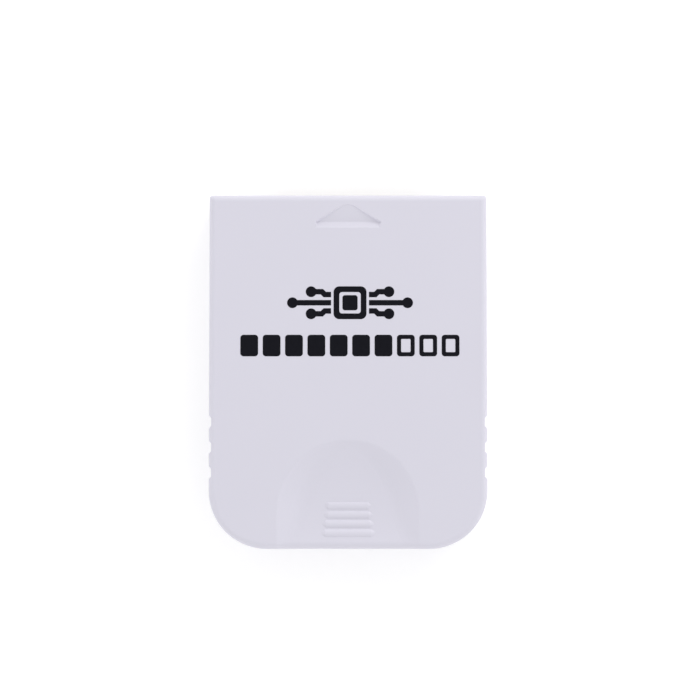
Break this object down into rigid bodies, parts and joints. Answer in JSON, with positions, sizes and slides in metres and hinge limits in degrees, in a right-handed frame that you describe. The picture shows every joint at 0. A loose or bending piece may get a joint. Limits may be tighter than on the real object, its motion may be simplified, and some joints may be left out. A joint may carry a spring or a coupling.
{
  "type": "console memory card",
  "caption": "Flat console memory card: two moulded shells clamp a board with gold edge contacts; sunk arrow, ribbed thumb dish and side grip notches.",
  "frame": {"origin": "middle of the rear face, on which the card lies", "axes": "+X across the card, to the right seen from the front; +Y along the card, towards the end that goes into the console; +Z out of the front face"},
  "size_m": [0.044, 0.056, 0.008],
  "materials": {
    "white_abs": "fine matt moulded ABS, white with a faint violet tint",
    "board_laminate": "glass-epoxy laminate under green solder mask",
    "contact_gold": "gold plate on copper",
    "chip_epoxy": "black moulding compound",
    "tinned_lead": "tin plate",
    "crystal_lid": "nickel-plated lid on a ceramic base",
    "moulded_capacitor": "yellow moulding compound",
    "capacitor_ceramic": "fired ceramic with tinned ends",
    "resistor_ceramic": "glazed resistor film on alumina with tinned ends"
  },
  "bodies": {
    "root": {"bulk_capacitor": "moulded_capacitor", "capacitor_1": "capacitor_ceramic", "capacitor_2": "capacitor_ceramic", "capacitor_3": "capacitor_ceramic", "capacitor_4": "capacitor_ceramic", "capacitor_5": "capacitor_ceramic", "capacitor_6": "capacitor_ceramic", "circuit_board": "board_laminate", "controller_chip": "chip_epoxy", "controller_leads": "tinned_lead", "crystal": "crystal_lid", "edge_contact_01": "contact_gold", "edge_contact_02": "contact_gold", "edge_contact_03": "contact_gold", "edge_contact_04": "contact_gold", "edge_contact_05": "contact_gold", "edge_contact_06": "contact_gold", "edge_contact_07": "contact_gold", "edge_contact_08": "contact_gold", "edge_contact_09": "contact_gold", "edge_contact_10": "contact_gold", "edge_contact_11": "contact_gold", "edge_contact_12": "contact_gold", "flash_chip": "chip_epoxy", "flash_leads": "tinned_lead", "front_shell": "white_abs", "rear_shell": "white_abs", "resistor_1": "resistor_ceramic", "resistor_2": "resistor_ceramic", "resistor_3": "resistor_ceramic", "resistor_4": "resistor_ceramic", "resistor_5": "resistor_ceramic", "resistor_6": "resistor_ceramic"}
  },
  "joints": []
}
